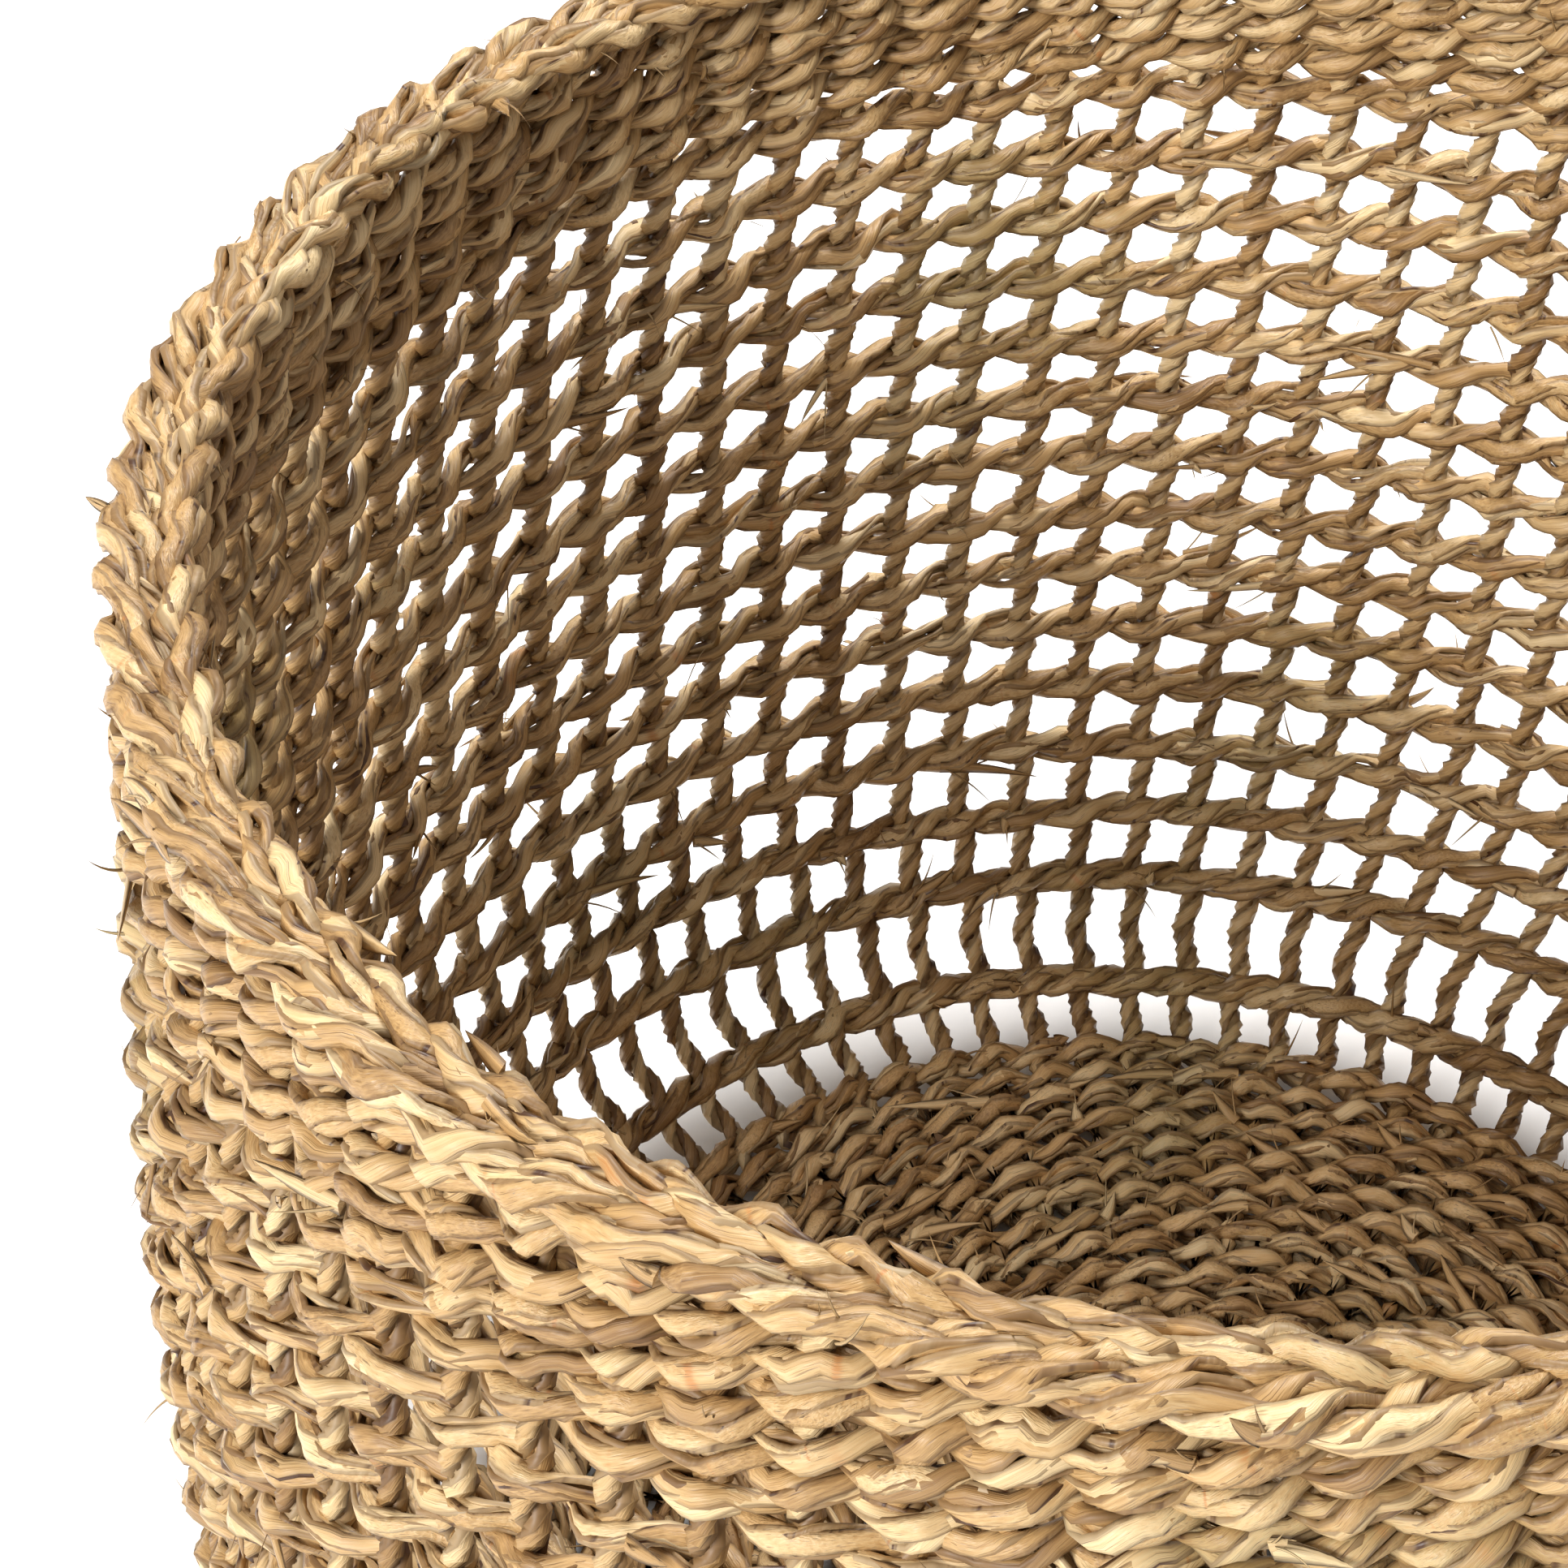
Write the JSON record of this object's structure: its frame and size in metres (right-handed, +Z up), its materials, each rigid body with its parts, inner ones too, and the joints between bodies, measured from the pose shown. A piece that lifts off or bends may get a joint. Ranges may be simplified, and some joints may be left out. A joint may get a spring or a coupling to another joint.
{
  "type": "storage basket",
  "caption": "Round open-weave seagrass storage basket with a flat packed base, bellied twined wall and a thick braided rim.",
  "frame": {"origin": "centre of the base, on the surface that the basket stands on", "axes": "+Z up through the middle of the basket; +X and +Y any two directions, as the basket is round"},
  "size_m": [0.3999, 0.3998, 0.3],
  "materials": {
    "stake_cord": "natural",
    "base_weft": "natural",
    "wall_weft": "natural",
    "rim_braid": "natural"
  },
  "bodies": {
    "root": {"base_centre_knot": "base_weft", "centre_stakes": "stake_cord", "second_stakes": "stake_cord", "third_stakes_a": "stake_cord", "third_stakes_b": "stake_cord", "outer_stakes_a": "stake_cord", "outer_stakes_b": "stake_cord", "outer_stakes_c": "stake_cord", "outer_stakes_d": "stake_cord", "base_row_01": "base_weft", "base_row_02": "base_weft", "base_row_03": "base_weft", "base_row_04": "base_weft", "base_row_05": "base_weft", "base_row_06": "base_weft", "base_row_07": "base_weft", "base_row_08": "base_weft", "base_row_09": "base_weft", "base_row_10": "base_weft", "base_row_11": "base_weft", "base_row_12": "base_weft", "base_row_13": "base_weft", "base_row_14": "base_weft", "base_row_15": "base_weft", "base_row_16": "base_weft", "base_row_17": "base_weft", "base_row_18": "base_weft", "foot_row": "wall_weft", "wall_row_01": "wall_weft", "wall_row_02": "wall_weft", "wall_row_03": "wall_weft", "wall_row_04": "wall_weft", "wall_row_05": "wall_weft", "wall_row_06": "wall_weft", "wall_row_07": "wall_weft", "wall_row_08": "wall_weft", "wall_row_09": "wall_weft", "wall_row_10": "wall_weft", "wall_row_11": "wall_weft", "wall_row_12": "wall_weft", "wall_row_13": "wall_weft", "wall_row_14": "wall_weft", "band_row_1": "wall_weft", "band_row_2": "wall_weft", "band_row_3": "wall_weft", "band_row_4": "wall_weft", "border_outer_strand": "rim_braid", "border_inner_strand": "rim_braid", "border_top_strand": "rim_braid"}
  },
  "joints": []
}
